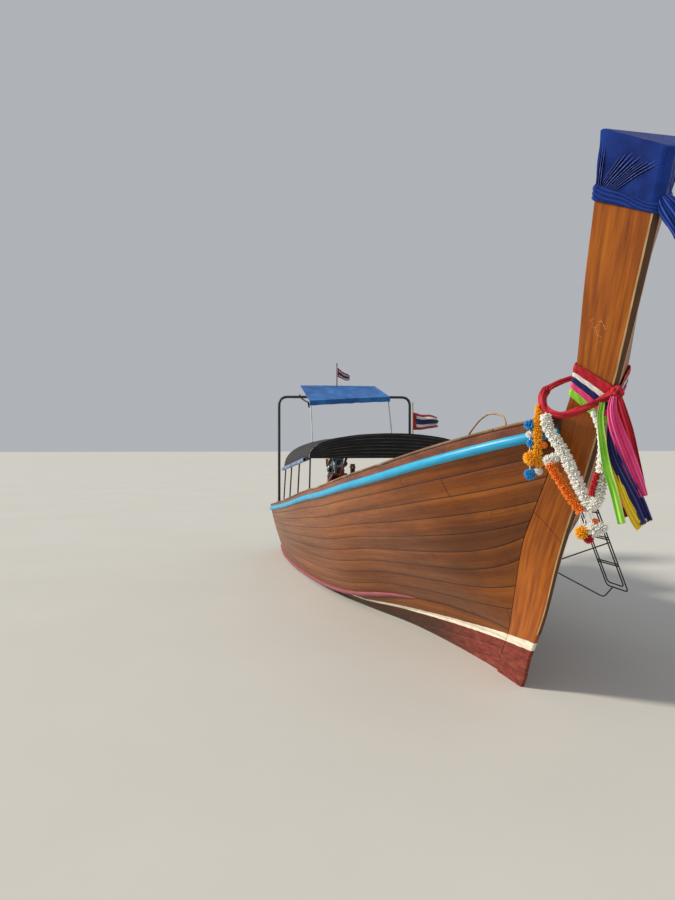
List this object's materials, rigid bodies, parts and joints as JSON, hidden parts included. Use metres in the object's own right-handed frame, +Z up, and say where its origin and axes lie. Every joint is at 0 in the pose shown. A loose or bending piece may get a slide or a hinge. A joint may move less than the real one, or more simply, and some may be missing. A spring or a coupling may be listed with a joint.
{
  "type": "longtail boat",
  "caption": "Wooden longtail boat with a raked prow post dressed in cloth and garlands, an arched canopy and an engine on a swivel with a long propeller shaft.",
  "frame": {"origin": "on the waterline amidships, on the centreline", "axes": "+X towards the bow, +Y to port, +Z up"},
  "size_m": [13.5332, 2.9254, 4.5563],
  "materials": {
    "varnished_planks": "gloss varnish, weathered",
    "post_wood": "gloss varnish",
    "inner_wood": "oiled",
    "bottom_paint": "matt antifouling paint, scuffed",
    "strake_paint": "paint",
    "rail_paint": "gloss paint",
    "washboard_wood": "varnish",
    "tube": "weathered",
    "white_tube": "matt",
    "blue_tarp": "coated cloth",
    "dark_canvas": "matt",
    "curtain_cloth": "coated cloth",
    "flag_cloth": "thin cloth",
    "cane": "bare",
    "royal_cloth": "satin",
    "ribbon_cloth": "satin",
    "red_cloth": "satin",
    "pink_cloth": "satin",
    "lime_cloth": "satin",
    "navy_cloth": "satin",
    "white_flowers": "matt",
    "marigold_flowers": "matt",
    "orange_flowers": "matt",
    "blue_flowers": "matt",
    "engine_parts": "painted, oily",
    "cradle_paint": "chipped paint",
    "bronze": "worn"
  },
  "bodies": {
    "hull": {"keel": "bottom_paint", "stem_post": "post_wood", "bottom_planking_stbd": "bottom_paint", "bottom_planking_port": "bottom_paint", "side_planking_stbd": "varnished_planks", "side_planking_port": "varnished_planks", "washboard_stbd": "washboard_wood", "washboard_port": "washboard_wood", "transom": "varnished_planks", "rub_rail_stbd": "rail_paint", "rub_rail_port": "rail_paint", "chine_strake_stbd": "strake_paint", "chine_strake_port": "strake_paint", "frames_aft_stbd": "inner_wood", "frames_aft_port": "inner_wood", "frames_fore_stbd": "inner_wood", "frames_fore_port": "inner_wood", "floor_boards": "inner_wood", "aft_deck": "inner_wood", "foredeck": "varnished_planks", "benches": "varnished_planks", "roof_posts_stbd": "tube", "roof_posts_port": "tube", "roof_frame": "tube", "roof_canvas": "dark_canvas", "roof_gable": "dark_canvas", "curtain_roll_stbd": "curtain_cloth", "curtain_roll_port": "curtain_cloth", "stern_arch": "tube", "stern_tarp": "blue_tarp", "tarp_frame": "white_tube", "flag_staff_stern": "cane", "flag_stern": "flag_cloth", "flag_staff_roof": "cane", "flag_roof": "flag_cloth", "boarding_ladder": "tube", "bow_hoop": "cane", "cleat_stbd": "inner_wood", "cleat_port": "inner_wood", "prow_cloth": "royal_cloth", "ribbon_wraps": "ribbon_cloth", "cloth_tail": "royal_cloth", "red_sash": "red_cloth", "garland_white": "white_flowers", "garland_marigold": "marigold_flowers", "garland_orange": "orange_flowers", "garland_blue": "blue_flowers", "ribbon_tail_pink": "pink_cloth", "ribbon_tail_lime": "lime_cloth", "ribbon_tail_navy": "navy_cloth", "motor_post": "inner_wood"},
    "yoke": {"swivel_yoke": "tube"},
    "motor": {"engine_cradle": "cradle_paint", "engine_block": "engine_parts", "shaft_tube": "tube"},
    "screw": {"propeller": "bronze"}
  },
  "joints": [
    {"name": "motor_swivel", "type": "hinge", "parent": "hull", "child": "yoke", "pos_m": [-3.85, 0, 1.24], "axis": [0, 0, 1], "range_deg": [-40, 40]},
    {"name": "motor_tilt", "type": "hinge", "parent": "yoke", "child": "motor", "pos_m": [-3.85, 0, 1.33], "axis": [0, 1, 0], "range_deg": [-8, 14]},
    {"name": "propeller_spin", "type": "hinge", "parent": "motor", "child": "screw", "pos_m": [-7.3743, 0, 0.2411], "axis": [0.9426, 0, 0.3338], "continuous": true}
  ]
}
